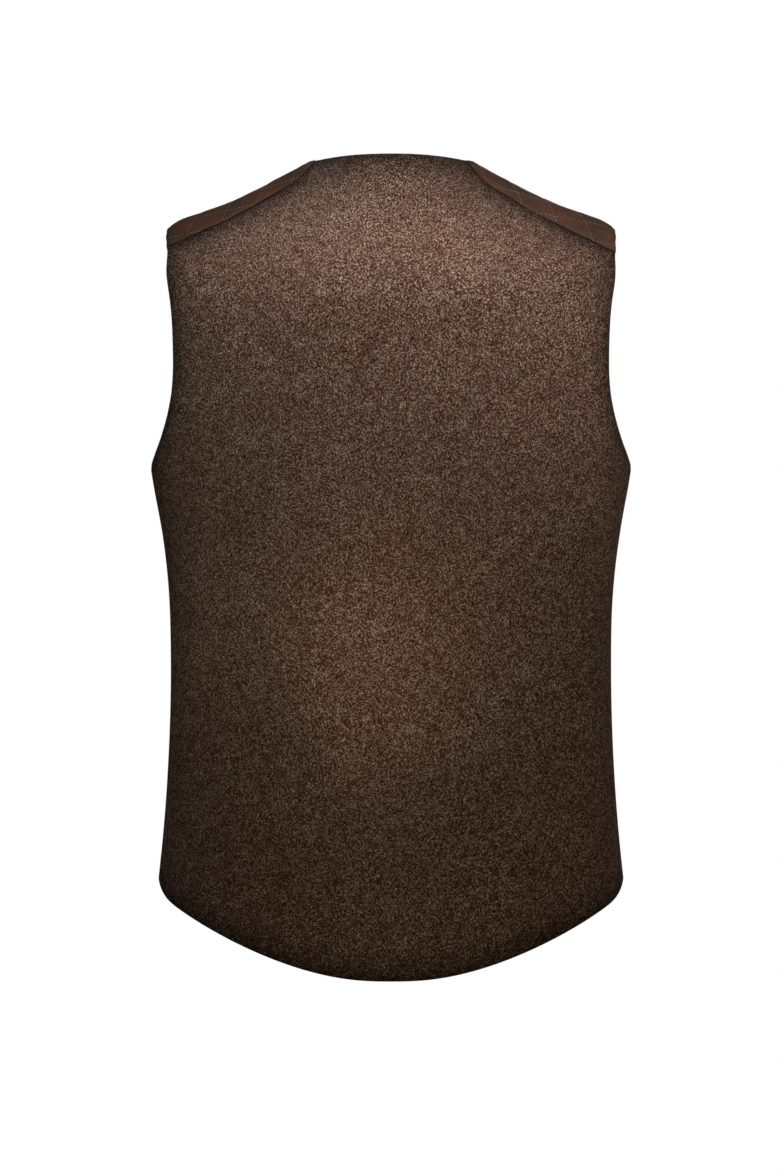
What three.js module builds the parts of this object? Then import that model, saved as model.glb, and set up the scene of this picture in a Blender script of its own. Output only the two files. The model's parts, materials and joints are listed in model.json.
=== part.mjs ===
// Sleeveless loden hunting vest with quilted leather shoulder yokes, worn form, hollow.
// Millimetres, +Z up. The back faces -Y, the front +Y, and +X is the wearer's right.
// The origin is midway between the two side neck points, where the wearer's shoulders carry the vest.
import * as THREE from "three";

// ---- Cloth and seams ----
const LODEN_WALL = 2.2; // thickness of the milled wool
const SEAM_GAP = 0.3; // between two pieces that meet at a seam
const LEATHER_BELOW = 1.9; // how far the lined leather reaches in under the face of the loden
const LEATHER_ABOVE = 0.5; // how far a stitched line of the leather stands above the loden
const QUILT_PUFF = 1.5; // how far the middle of a diamond stands above its stitched lines
const QUILT_PITCH = 28; // side of one diamond
const QUILT_FULLNESS = 0.6; // under 1, a diamond is fuller towards its stitched lines
const LAP_STEP = 2.6; // how far the under front sinks below the upper one where they lap
const LAP_RUN = 34; // width over which it sinks
const BUTTON_STAND = 18; // each front runs this far past the centre front

// ---- Neck and shoulder ----
const NECK_HALF = 64.6; // half width at the side neck points
const FORM_TOP_Z = -1.8; // the form's shoulder line at the side neck points, under the quilted leather
const NECK_BACK_Z = -3.6; // centre back of the neck edge
const NECK_RISE = 61; // the form rises this far towards the middle of the neck opening
const TIP_HALF = 188.6; // half width at the shoulder tips
const SHOULDER_FALL = 54.8; // from the side neck point down to the shoulder tip
const SHOULDER_HOLLOW = 0.4; // sag of the shoulder line, as a share of its fall
const TIP_ROLL = { run: 6.5, fall: 4, power: 2.2 }; // the shoulder's outer end turns down over the arm
const ROLL = { atCentre: 150, perWidth: 0.54, power: 1.7 }; // height and roundness of the shoulder's turn
const V_POINT_Z = -205; // where the neck edges cross at the centre front
const V_BOW = 1.4; // over 1, the V edge bows out

// ---- Yoke seams ----
// Back seam: drop below the shoulder line is `start` at the neck, gains `hook` within about `run`,
// and a further `slant` by the shoulder tip.
const BACK_SEAM = {
  left: { start: 1.8, hook: 10.5, run: 8, slant: 10.7, power: 1.3 },
  right: { start: 1.8, hook: 12.5, run: 8, slant: 13.5, power: 1.3 },
};
const FRONT_SEAM = { neckZ: -84, slope: -0.3 }; // height at the neck edge, and fall per mm outwards

// ---- Side seam, armhole and hem ----
const SIDE_SEAM_Y = 6; // the side seam lies just forward of the side
const ARMHOLE = { bottomZ: -264, back: 69, front: 76, lowFullness: 0.88, highFullness: 0.85 };
const TIP_EDGE = { from: 14, to: 64 }; // distances from the shoulder line between which it leaves the tip
const TAIL = { z: -684, rounding: 35, curve: 0.0316, power: 1.5 }; // the back hem, rounded at its middle
const HEM_TURN = { from: 184, lift: 11, power: 2.6 }; // it turns up further towards the side seam
const FRONT_HEM_Z = -622; // the front hem at the centre
const HEM_RING_Z = -620; // the section that hem widths are read from
const FRONT_CORNER = 16; // radius of the front's lower corner

// ---- Buttons ----
const BUTTONS = { count: 5, topZ: -247, pitch: 82, radius: 10, rim: 3.6, well: 2.6, sides: 16 };
const BUTTON_EDGE = 1; // rounding of a button's outer edges
const BUTTON_LIP = 2.4; // width of the raised rim around the well

// ---- Mesh density ----
const ROWS = { torso: 20, armhole: 11, yoke: 24 };
const COLUMNS = { seam: 14, neck: 8 };
const SEAM_CROWDING = 1.25; // over 1, the columns of a back seam crowd towards the neck
const HEM_CROWDING = 1.3; // over 1, the columns of a front's hem crowd towards the closing edge
const ARMHOLE_CROWDING = 0.75; // under 1, the rows of an armhole crowd towards its top

// Level sections of the worn form: half width, and depth behind and in front of the shoulder line.
const SQUARENESS = 2.3;
const SECTIONS = [
  { z: 60, half: 214, back: 62, front: 38 },
  { z: 0, half: 214, back: 76.5, front: 56 },
  { z: -40, half: 214, back: 87.5, front: 76 },
  { z: -80, half: 214, back: 99, front: 94 },
  { z: -120, half: 212.5, back: 109, front: 108 },
  { z: -160, half: 209.5, back: 115.5, front: 118 },
  { z: -200, half: 203, back: 118, front: 124 },
  { z: -235, half: 202, back: 116.5, front: 127 },
  { z: -264, half: 203.2, back: 113.5, front: 128 },
  { z: -289, half: 198.6, back: 109.5, front: 127 },
  { z: -323, half: 192.5, back: 102.5, front: 123 },
  { z: -370, half: 187.6, back: 94, front: 116 },
  { z: -416, half: 186.3, back: 89, front: 110.5 },
  { z: -470, half: 186.9, back: 89.5, front: 108 },
  { z: -526, half: 189.3, back: 97, front: 108.5 },
  { z: -580, half: 193.6, back: 107, front: 111 },
  { z: -620, half: 197.6, back: 112.5, front: 113 },
  { z: -690, half: 200.5, back: 115, front: 114 },
];

const LODEN = { color: 0x4f3b2e, roughness: 0.95, metalness: 0 };
const LEATHER = { color: 0x523a2b, roughness: 0.7, metalness: 0 };
const HORN = { color: 0x3b2a1d, roughness: 0.4, metalness: 0 };

// Steps for slopes and lengths taken numerically.
const SMALL_ANGLE = 0.002;
const SMALL_TURN = 0.002;
const SMALL_HEIGHT = 0.4;
const HALVINGS = 40;
const CHORDS_OVER = 12;

const BACK = -1;
const FRONT = 1;
const RIGHT = 1;
const LEFT = -1;

// ---------------------------------------------------------------- the worn form

function slopeAt(row, key) {
  const above = SECTIONS[Math.max(row - 1, 0)];
  const below = SECTIONS[Math.min(row + 1, SECTIONS.length - 1)];
  return (below[key] - above[key]) / (below.z - above.z);
}

// The section at a height, by a smooth curve through the table's rows.
function section(z) {
  let row = 0;
  while (row < SECTIONS.length - 2 && SECTIONS[row + 1].z > z) row += 1;
  const from = SECTIONS[row];
  const to = SECTIONS[row + 1];
  const span = to.z - from.z;
  const t = Math.min(Math.max((z - from.z) / span, 0), 1);
  const result = {};
  for (const key of ["half", "back", "front"]) {
    const rise = t * t * (3 - 2 * t);
    const bendFrom = t * (1 - t) * (1 - t) * span * slopeAt(row, key);
    const bendTo = t * t * (t - 1) * span * slopeAt(row + 1, key);
    result[key] = from[key] * (1 - rise) + to[key] * rise + bendFrom + bendTo;
  }
  return result;
}

// Height of the shoulder line at a distance from the centre, before its outer end turns down.
function shoulderLine(x) {
  const out = Math.abs(x);
  const slope = (SHOULDER_FALL * (1 + SHOULDER_HOLLOW)) / (TIP_HALF - NECK_HALF);
  if (out < NECK_HALF) {
    const dome = 1 - (out / NECK_HALF) ** 2;
    return FORM_TOP_Z + (slope * NECK_HALF * dome) / 2 + NECK_RISE * dome ** 2;
  }
  const along = (out - NECK_HALF) / (TIP_HALF - NECK_HALF);
  const fall = SHOULDER_FALL * along * (1 + SHOULDER_HOLLOW * (1 - along));
  return FORM_TOP_Z - fall;
}

function ridge(x) {
  const turned = Math.max(Math.abs(x) - TIP_HALF + TIP_ROLL.run, 0) / TIP_ROLL.run;
  return shoulderLine(x) - TIP_ROLL.fall * turned ** TIP_ROLL.power;
}

function rollReach(x) {
  return ROLL.atCentre - ROLL.perWidth * Math.abs(x);
}

// Share of the full depth that the form has at a height below the shoulder line, 0 on it.
function roll(x, z) {
  const fall = Math.min(Math.max((ridge(x) - z) / rollReach(x), 0), 1);
  return (1 - (1 - fall) ** ROLL.power) ** (1 / ROLL.power);
}

// Depth of the form before the shoulder's turn is taken off.
function fullDepth(x, z, face) {
  const level = section(z);
  const deep = face === BACK ? level.back : level.front;
  const across = Math.min(Math.abs(x) / level.half, 1);
  return deep * (1 - across ** SQUARENESS) ** (1 / SQUARENESS);
}

// A point of the form at an angle round the body: 0 is the centre back, 90 degrees the right side.
function onRing(angle, z) {
  const level = section(z);
  const deep = Math.cos(angle) > 0 ? level.back : level.front;
  const wide = Math.abs(Math.sin(angle) / level.half) ** SQUARENESS;
  const long = Math.abs(Math.cos(angle) / deep) ** SQUARENESS;
  const reach = (wide + long) ** (-1 / SQUARENESS);
  const x = reach * Math.sin(angle);
  return new THREE.Vector3(x, -reach * Math.cos(angle) * roll(x, z), z);
}

function angleAt(x, z, face) {
  const angle = Math.atan2(x, fullDepth(x, z, face));
  return face === BACK ? angle : Math.PI - angle;
}

// A point of the form on the front-to-back line at x: turn 0 is the shoulder line, minus is behind,
// and from -1 to 1 the line turns over the shoulder.
function overShoulder(x, turn) {
  const bend = Math.min(Math.abs(turn), 1) * (Math.PI / 2);
  const rounded = 1 - Math.max(Math.cos(bend), 0) ** (2 / ROLL.power);
  const z = ridge(x) - rollReach(x) * (rounded + Math.max(Math.abs(turn) - 1, 0));
  const face = turn < 0 ? BACK : FRONT;
  return new THREE.Vector3(x, face * fullDepth(x, z, face) * roll(x, z), z);
}

function turnAt(x, z, face) {
  const fall = (ridge(x) - z) / rollReach(x);
  if (fall > 1) return face * fall;
  const bend = Math.acos(Math.max(1 - fall, 0) ** (ROLL.power / 2));
  return (face * bend) / (Math.PI / 2);
}

// From 0 at t = 0 to 1 at t = 1, level at both ends.
function smooth(t) {
  const share = Math.min(Math.max(t, 0), 1);
  return share * share * (3 - 2 * share);
}

// A value where test() changes from true to false.
function bisect(test, low, high) {
  for (let i = 0; i < HALVINGS; i += 1) {
    const middle = (low + high) / 2;
    if (test(middle)) low = middle;
    else high = middle;
  }
  return (low + high) / 2;
}

// Half width of the form at a height and a distance in front of or behind the shoulder line.
function widthAt(y, z) {
  const face = y < 0 ? BACK : FRONT;
  const wider = (x) => fullDepth(x, z, face) * roll(x, z) > Math.abs(y);
  return bisect(wider, NECK_HALF, section(z).half);
}

// ---------------------------------------------------------------- edges

// The armhole is an oval seen from the side. turn 0 is its lowest point and PI its top.
// Near the tip it falls at least as fast as the shoulder does, so that the tip keeps its width.
function armholePoint(turn, face) {
  const topZ = ridge(TIP_HALF);
  const middle = (topZ + ARMHOLE.bottomZ) / 2;
  const ovalZ = middle - ((topZ - ARMHOLE.bottomZ) / 2) * Math.cos(turn);
  const centre = (SIDE_SEAM_Y * (1 + Math.cos(turn))) / 2;
  const deep = face === BACK ? ARMHOLE.back : ARMHOLE.front;
  const fullness = turn < Math.PI / 2 ? ARMHOLE.lowFullness : ARMHOLE.highFullness;
  const y = centre + face * (SEAM_GAP / 2 + deep * Math.max(Math.sin(turn), 0) ** fullness);
  const share = Math.min(Math.abs(y) / fullDepth(TIP_HALF, ovalZ, face), 1);
  const fall = 1 - (1 - share ** ROLL.power) ** (1 / ROLL.power);
  const sunk = turn > Math.PI / 2 ? Math.max(ovalZ - topZ + fall * rollReach(TIP_HALF), 0) : 0;
  const away = smooth((Math.abs(y) - TIP_EDGE.from) / (TIP_EDGE.to - TIP_EDGE.from));
  const z = ovalZ - sunk * (1 - away);
  return new THREE.Vector3(widthAt(y, z), y, z);
}

function neckHalfAt(z) {
  const down = z / V_POINT_Z;
  return NECK_HALF * (1 - Math.sign(down) * Math.abs(down) ** V_BOW);
}

function backSeamZ(x, side) {
  const seam = side === RIGHT ? BACK_SEAM.right : BACK_SEAM.left;
  const out = Math.max(Math.abs(x) - NECK_HALF, 0);
  const along = out / (TIP_HALF - NECK_HALF);
  const hooked = seam.hook * (1 - Math.exp(-out / seam.run));
  return shoulderLine(x) - seam.start - hooked - seam.slant * along ** seam.power;
}

function frontSeamZ(x) {
  return FRONT_SEAM.neckZ + FRONT_SEAM.slope * (x - neckHalfAt(FRONT_SEAM.neckZ));
}

// The yoke's seam on one face, moved half a gap off the seam line, towards the yoke or the panel.
function seamTurn(x, side, face, towards) {
  const z = face === BACK ? backSeamZ(x, side) : frontSeamZ(x);
  const turn = turnAt(x, z, face);
  const ahead = overShoulder(x, turn + SMALL_TURN);
  const speed = ahead.distanceTo(overShoulder(x, turn - SMALL_TURN)) / (2 * SMALL_TURN);
  return turn + (face * towards * SEAM_GAP) / 2 / speed;
}
const TO_PANEL = 1;
const TO_YOKE = -1;

// Where that seam meets the armhole, as the oval's turn.
function armholeAtSeam(side, face, towards) {
  const below = (turn) => {
    const point = armholePoint(turn, face);
    return point.z < overShoulder(point.x, seamTurn(point.x, side, face, towards)).z;
  };
  return bisect(below, Math.PI / 2, Math.PI);
}

function backHemZ(x) {
  const sideHalf = section(HEM_RING_Z).half;
  const turned = Math.max(Math.abs(x) - HEM_TURN.from, 0) / (sideHalf - HEM_TURN.from);
  const risen = TAIL.curve * (Math.hypot(x, TAIL.rounding) - TAIL.rounding) ** TAIL.power;
  return TAIL.z + risen + HEM_TURN.lift * turned ** HEM_TURN.power;
}

function frontHemZ(x) {
  const sideX = widthAt(SIDE_SEAM_Y, HEM_RING_Z);
  const level = FRONT_HEM_Z + (backHemZ(sideX) - FRONT_HEM_Z) * (x / sideX) ** 2;
  const fromEdge = Math.min(Math.max(x + BUTTON_STAND, 0), FRONT_CORNER);
  return level + FRONT_CORNER - Math.sqrt(FRONT_CORNER ** 2 - (FRONT_CORNER - fromEdge) ** 2);
}

// ---------------------------------------------------------------- grids

function steps(count) {
  return Array.from({ length: count + 1 }, (_, i) => i / count);
}

// A grid of parameters between four edges that share their corners.
function fillPatch(bottom, top, left, right) {
  const across = bottom.length - 1;
  const up = left.length - 1;
  return steps(up).map((v, j) =>
    steps(across).map((u, i) => {
      const mix = (k) => {
        const sides = left[j][k] * (1 - u) + right[j][k] * u;
        const ends = bottom[i][k] * (1 - v) + top[i][k] * v;
        const low = bottom[0][k] * (1 - u) + bottom[across][k] * u;
        const high = top[0][k] * (1 - u) + top[across][k] * u;
        return sides + ends - low * (1 - v) - high * v;
      };
      return [mix(0), mix(1)];
    }),
  );
}

// The side seam from the hem up, then the armhole's edge up to the yoke, as angles and heights.
function sideEdge(side, face) {
  const y = SIDE_SEAM_Y + (face * SEAM_GAP) / 2;
  const hemZ = backHemZ(widthAt(SIDE_SEAM_Y, HEM_RING_Z));
  const seam = steps(ROWS.torso).map((t) => {
    const z = hemZ + (ARMHOLE.bottomZ - hemZ) * t;
    return [Math.atan2(widthAt(y, z), -y), z];
  });
  const last = armholeAtSeam(side, face, TO_PANEL);
  const hole = steps(ROWS.armhole).map((t) => {
    const point = armholePoint(last * t ** ARMHOLE_CROWDING, face);
    return [Math.atan2(point.x, -point.y / roll(point.x, point.z)), point.z];
  });
  return [...seam, ...hole.slice(1)];
}

function backGrid() {
  const edge = { [LEFT]: sideEdge(LEFT, BACK), [RIGHT]: sideEdge(RIGHT, BACK) };
  const seamTop = (side) => {
    const corner = armholePoint(armholeAtSeam(side, BACK, TO_PANEL), BACK);
    return steps(COLUMNS.seam).map((t) => {
      const x = NECK_HALF + (corner.x - NECK_HALF) * t ** SEAM_CROWDING;
      const z = overShoulder(x, seamTurn(x, side, BACK, TO_PANEL)).z;
      return [side * angleAt(x, z, BACK), z];
    });
  };
  const seams = { [LEFT]: seamTop(LEFT), [RIGHT]: seamTop(RIGHT) };
  const neck = steps(COLUMNS.neck).map((t) => {
    const x = NECK_HALF * Math.sin((t - 0.5) * Math.PI);
    const corner = seams[x < 0 ? LEFT : RIGHT][0][1];
    const z = NECK_BACK_Z + (corner - NECK_BACK_Z) * (x / NECK_HALF) ** 2;
    return [angleAt(x, z, BACK), z];
  });
  const top = [...seams[LEFT].slice(1).reverse(), ...neck, ...seams[RIGHT].slice(1)];
  const left = edge[LEFT].map(([angle, z]) => [-angle, z]);
  const bottom = steps(top.length - 1).map((u) => {
    const angle = left[0][0] + (edge[RIGHT][0][0] - left[0][0]) * u;
    return [angle, backHemZ(onRing(angle, HEM_RING_Z).x)];
  });
  return fillPatch(bottom, top, left, edge[RIGHT]);
}

// A front on the right side; the left one is its mirror image but for the lap.
function frontGrid(side) {
  const right = sideEdge(side, FRONT);
  const cornerZ = bisect((z) => neckHalfAt(z) < -BUTTON_STAND, 2 * V_POINT_Z, V_POINT_Z);
  const low = frontHemZ(-BUTTON_STAND);
  const closing = steps(ROWS.torso).map((t) => {
    const z = low + (cornerZ - low) * t;
    return [angleAt(-BUTTON_STAND, z, FRONT), z];
  });
  const seamX = neckHalfAt(FRONT_SEAM.neckZ);
  const seamZ = overShoulder(seamX, seamTurn(seamX, side, FRONT, TO_PANEL)).z;
  const vEdge = steps(ROWS.armhole).map((t) => {
    const z = cornerZ + (seamZ - cornerZ) * t;
    return [angleAt(neckHalfAt(z), z, FRONT), z];
  });
  const left = [...closing, ...vEdge.slice(1)];
  const inner = neckHalfAt(seamZ);
  const corner = armholePoint(armholeAtSeam(side, FRONT, TO_PANEL), FRONT);
  const top = steps(COLUMNS.seam).map((t) => {
    const x = inner + (corner.x - inner) * t;
    const z = overShoulder(x, seamTurn(x, side, FRONT, TO_PANEL)).z;
    return [angleAt(x, z, FRONT), z];
  });
  const bottom = steps(COLUMNS.seam).map((u) => {
    const angle = left[0][0] + (right[0][0] - left[0][0]) * u ** HEM_CROWDING;
    return [angle, frontHemZ(onRing(angle, HEM_RING_Z).x)];
  });
  return fillPatch(bottom, top, left, right);
}

// A yoke from its back seam over the shoulder to its front seam, as distances out and turns.
function yokeGrid(side) {
  const first = armholeAtSeam(side, BACK, TO_YOKE);
  const last = armholeAtSeam(side, FRONT, TO_YOKE);
  const right = steps(ROWS.yoke).map((t) => {
    const along = first + (2 * Math.PI - last - first) * t;
    const face = along < Math.PI ? BACK : FRONT;
    const point = armholePoint(face === BACK ? along : 2 * Math.PI - along, face);
    return [point.x, turnAt(point.x, point.z, face)];
  });
  const backTurn = seamTurn(NECK_HALF, side, BACK, TO_YOKE);
  const frontX = neckHalfAt(FRONT_SEAM.neckZ);
  const frontTurn = seamTurn(frontX, side, FRONT, TO_YOKE);
  const left = steps(ROWS.yoke).map((t) => {
    const turn = backTurn + (frontTurn - backTurn) * t;
    if (turn < 0) return [NECK_HALF, turn];
    const onEdge = (x) => x > neckHalfAt(overShoulder(x, turn).z);
    return [bisect((x) => !onEdge(x), frontX - 1, NECK_HALF + 1), turn];
  });
  const seam = (face, from, to) =>
    steps(COLUMNS.seam).map((t) => {
      const x = from + (to - from) * t ** (face === BACK ? SEAM_CROWDING : 1);
      return [x, seamTurn(x, side, face, TO_YOKE)];
    });
  const over = left.length - 1;
  const bottom = seam(BACK, left[0][0], right[0][0]);
  const top = seam(FRONT, left[over][0], right[over][0]);
  return fillPatch(bottom, top, left, right);
}

// ---------------------------------------------------------------- walls

// The form's outward normal at a pair of parameters.
function normalOf(place, a, b) {
  const step = [SMALL_ANGLE, place === onRing ? SMALL_HEIGHT : SMALL_TURN];
  const alongA = place(a + step[0], b).sub(place(a - step[0], b));
  const alongB = place(a, b + step[1]).sub(place(a, b - step[1]));
  const normal = alongA.cross(alongB).normalize();
  return place === onRing ? normal : normal.negate();
}

// A closed wall over a grid. lift(a, b) gives the heights of its outer and inner face over the form.
function wall(name, grid, place, side, lift, look) {
  const up = grid.length;
  const across = grid[0].length;
  const positions = [];
  for (const layer of [0, 1]) {
    for (const row of grid) {
      for (const [a, b] of row) {
        const point = place(a, b);
        point.addScaledVector(normalOf(place, a, b), lift(a, b, point)[layer]);
        positions.push(side * point.x, point.y, point.z);
      }
    }
  }
  const at = (layer, j, i) => (layer * up + j) * across + i;
  const apart = (p, q) => Math.hypot(...[0, 1, 2].map((k) => positions[3 * p + k] - positions[3 * q + k]));
  const faces = [];
  // Each cell is split along its shorter diagonal.
  const quad = (p, q, r, s) => {
    if (apart(p, r) <= apart(q, s)) faces.push(p, q, r, p, r, s);
    else faces.push(q, r, s, q, s, p);
  };
  for (let j = 0; j < up - 1; j += 1) {
    for (let i = 0; i < across - 1; i += 1) {
      quad(at(0, j, i), at(0, j, i + 1), at(0, j + 1, i + 1), at(0, j + 1, i));
      quad(at(1, j, i), at(1, j + 1, i), at(1, j + 1, i + 1), at(1, j, i + 1));
    }
  }
  const rim = [];
  for (let i = 0; i < across - 1; i += 1) rim.push([0, i]);
  for (let j = 0; j < up - 1; j += 1) rim.push([j, across - 1]);
  for (let i = across - 1; i > 0; i -= 1) rim.push([up - 1, i]);
  for (let j = up - 1; j > 0; j -= 1) rim.push([j, 0]);
  rim.forEach(([j, i], k) => {
    const [nextJ, nextI] = rim[(k + 1) % rim.length];
    quad(at(1, j, i), at(1, nextJ, nextI), at(0, nextJ, nextI), at(0, j, i));
  });
  const geometry = new THREE.BufferGeometry();
  geometry.setAttribute("position", new THREE.Float32BufferAttribute(positions, 3));
  geometry.setIndex(turnedOut(faces, positions));
  geometry.computeVertexNormals();
  const mesh = new THREE.Mesh(geometry, new THREE.MeshStandardMaterial(look));
  mesh.name = name;
  return mesh;
}

// The same faces, turned round if they enclose a negative volume.
function turnedOut(faces, positions) {
  const corner = (i) => new THREE.Vector3().fromArray(positions, faces[i] * 3);
  let volume = 0;
  for (let i = 0; i < faces.length; i += 3) {
    volume += corner(i).dot(corner(i + 1).cross(corner(i + 2)));
  }
  return volume > 0 ? faces : faces.slice().reverse();
}

function plainLift() {
  return [0, -LODEN_WALL];
}

// The under front sinks below the upper one on its way to the closing edge.
function lapLift(angle, z, point) {
  const sunk = LAP_STEP * smooth((BUTTON_STAND + LAP_RUN - point.x) / LAP_RUN);
  return [-sunk, -sunk - LODEN_WALL];
}

// Distance over the shoulder from its ridge, plus towards the front.
function distanceOver(x, turn) {
  const points = steps(CHORDS_OVER).map((t) => overShoulder(x, turn * t));
  let total = 0;
  for (let i = 0; i < CHORDS_OVER; i += 1) total += points[i].distanceTo(points[i + 1]);
  return Math.sign(turn) * total;
}

// Diamonds on the bias: the stitched lines run at 45 degrees to the upright of the front.
function quiltLift(x, turn) {
  const upright = ridge(x) - distanceOver(x, turn);
  const rising = (x + upright) / Math.SQRT2 / QUILT_PITCH;
  const falling = (x - upright) / Math.SQRT2 / QUILT_PITCH;
  const arch = Math.abs(Math.sin(Math.PI * rising) * Math.sin(Math.PI * falling));
  return [LEATHER_ABOVE + QUILT_PUFF * arch ** QUILT_FULLNESS, -LEATHER_BELOW];
}

// ---------------------------------------------------------------- buttons

function button(index) {
  const { radius, rim, well, sides } = BUTTONS;
  const profile = [
    [0, 0],
    [radius - BUTTON_EDGE, 0],
    [radius, BUTTON_EDGE],
    [radius, rim - BUTTON_EDGE],
    [radius - BUTTON_EDGE, rim],
    [radius - BUTTON_LIP, rim],
    [radius - BUTTON_LIP - BUTTON_EDGE, well],
    [0, well],
  ].map(([r, h]) => new THREE.Vector2(r, h));
  const geometry = new THREE.LatheGeometry(profile, sides);
  const mesh = new THREE.Mesh(geometry, new THREE.MeshStandardMaterial(HORN));
  const z = BUTTONS.topZ - BUTTONS.pitch * index;
  const normal = normalOf(onRing, Math.PI, z);
  mesh.name = `button_${index + 1}`;
  mesh.position.copy(onRing(Math.PI, z)).addScaledVector(normal, SEAM_GAP);
  mesh.quaternion.setFromUnitVectors(new THREE.Vector3(0, 1, 0), normal);
  return mesh;
}

// ---------------------------------------------------------------- the vest

const vest = new THREE.Group();
vest.add(wall("back", backGrid(), onRing, RIGHT, plainLift, LODEN));
vest.add(wall("front_left", frontGrid(LEFT), onRing, LEFT, plainLift, LODEN));
vest.add(wall("front_right", frontGrid(RIGHT), onRing, RIGHT, lapLift, LODEN));
vest.add(wall("shoulder_yoke_left", yokeGrid(LEFT), overShoulder, LEFT, quiltLift, LEATHER));
vest.add(wall("shoulder_yoke_right", yokeGrid(RIGHT), overShoulder, RIGHT, quiltLift, LEATHER));
for (let i = 0; i < BUTTONS.count; i += 1) vest.add(button(i));

export default vest;
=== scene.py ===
# %% [markdown]
# # A sleeveless loden hunting vest
#
# The vest is four kinds of piece: a loden back, two loden fronts, two quilted leather shoulder yokes and
# five horn buttons. The solids give every piece its real size and place. Here each cloth piece becomes a
# fine sheet on its solid's form, with creases, turned edges, stitching and a finish made of nodes.

# %% Load the solids
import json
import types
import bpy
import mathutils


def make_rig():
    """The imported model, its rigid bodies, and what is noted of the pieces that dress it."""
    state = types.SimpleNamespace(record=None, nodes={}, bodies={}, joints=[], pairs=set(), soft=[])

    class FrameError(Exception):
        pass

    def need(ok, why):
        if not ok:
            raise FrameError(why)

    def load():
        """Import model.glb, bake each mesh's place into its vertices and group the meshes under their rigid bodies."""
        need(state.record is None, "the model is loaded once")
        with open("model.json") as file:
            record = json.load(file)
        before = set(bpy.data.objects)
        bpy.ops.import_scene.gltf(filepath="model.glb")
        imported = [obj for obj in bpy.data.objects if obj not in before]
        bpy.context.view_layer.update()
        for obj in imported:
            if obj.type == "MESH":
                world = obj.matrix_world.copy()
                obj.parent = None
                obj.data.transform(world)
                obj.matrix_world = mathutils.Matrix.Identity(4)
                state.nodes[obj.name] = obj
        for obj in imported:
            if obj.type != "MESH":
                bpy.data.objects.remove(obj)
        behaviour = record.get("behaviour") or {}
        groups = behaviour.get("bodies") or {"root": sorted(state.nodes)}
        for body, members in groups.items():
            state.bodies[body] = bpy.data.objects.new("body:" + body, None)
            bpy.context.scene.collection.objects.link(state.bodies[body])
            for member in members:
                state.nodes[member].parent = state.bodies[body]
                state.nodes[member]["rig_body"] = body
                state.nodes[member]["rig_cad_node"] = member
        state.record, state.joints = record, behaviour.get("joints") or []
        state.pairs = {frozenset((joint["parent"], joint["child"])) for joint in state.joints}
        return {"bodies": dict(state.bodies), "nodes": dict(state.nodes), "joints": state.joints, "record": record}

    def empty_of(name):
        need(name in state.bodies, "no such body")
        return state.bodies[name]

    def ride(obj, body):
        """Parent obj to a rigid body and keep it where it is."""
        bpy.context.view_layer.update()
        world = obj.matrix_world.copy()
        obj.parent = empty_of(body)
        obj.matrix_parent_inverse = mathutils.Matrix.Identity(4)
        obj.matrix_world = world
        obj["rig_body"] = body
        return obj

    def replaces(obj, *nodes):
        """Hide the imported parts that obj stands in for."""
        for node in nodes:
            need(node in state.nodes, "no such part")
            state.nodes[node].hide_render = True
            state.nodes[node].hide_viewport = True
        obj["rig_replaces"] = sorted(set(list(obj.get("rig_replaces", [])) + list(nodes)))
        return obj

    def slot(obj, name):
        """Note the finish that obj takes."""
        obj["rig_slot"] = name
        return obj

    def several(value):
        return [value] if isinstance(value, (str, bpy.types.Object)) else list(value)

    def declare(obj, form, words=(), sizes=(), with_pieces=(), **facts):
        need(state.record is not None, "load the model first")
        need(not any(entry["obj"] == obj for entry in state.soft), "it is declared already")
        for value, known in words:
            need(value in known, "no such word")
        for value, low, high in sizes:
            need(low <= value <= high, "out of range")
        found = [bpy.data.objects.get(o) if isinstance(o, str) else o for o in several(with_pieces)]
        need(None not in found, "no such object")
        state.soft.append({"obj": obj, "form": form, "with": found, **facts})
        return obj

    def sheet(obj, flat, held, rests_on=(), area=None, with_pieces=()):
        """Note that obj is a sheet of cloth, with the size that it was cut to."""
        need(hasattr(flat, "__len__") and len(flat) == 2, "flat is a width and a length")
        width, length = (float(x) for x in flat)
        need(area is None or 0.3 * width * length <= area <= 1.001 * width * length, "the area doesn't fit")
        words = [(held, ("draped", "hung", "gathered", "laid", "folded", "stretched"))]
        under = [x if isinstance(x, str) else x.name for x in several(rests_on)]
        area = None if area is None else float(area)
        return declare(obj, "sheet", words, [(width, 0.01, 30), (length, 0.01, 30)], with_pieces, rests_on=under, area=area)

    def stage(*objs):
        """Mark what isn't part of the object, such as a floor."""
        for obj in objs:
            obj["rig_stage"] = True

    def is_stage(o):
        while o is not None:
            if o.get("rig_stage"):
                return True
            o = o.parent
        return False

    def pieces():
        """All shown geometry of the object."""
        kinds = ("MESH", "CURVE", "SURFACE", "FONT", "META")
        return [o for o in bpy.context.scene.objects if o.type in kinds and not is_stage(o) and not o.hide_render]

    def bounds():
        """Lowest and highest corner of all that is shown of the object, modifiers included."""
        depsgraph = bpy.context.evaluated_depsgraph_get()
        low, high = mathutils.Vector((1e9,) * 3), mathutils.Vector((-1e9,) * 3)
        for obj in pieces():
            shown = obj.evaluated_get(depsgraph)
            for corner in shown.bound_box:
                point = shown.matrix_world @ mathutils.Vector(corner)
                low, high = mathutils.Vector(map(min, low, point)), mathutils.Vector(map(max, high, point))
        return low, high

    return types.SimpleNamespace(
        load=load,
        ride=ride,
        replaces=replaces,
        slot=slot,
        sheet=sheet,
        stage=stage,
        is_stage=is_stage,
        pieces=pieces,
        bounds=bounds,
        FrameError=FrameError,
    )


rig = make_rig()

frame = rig.load()

import json
import math

import bmesh
import bpy
import numpy as np
from mathutils import Matrix, Vector, noise
from mathutils.bvhtree import BVHTree
from mathutils.kdtree import KDTree

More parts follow.
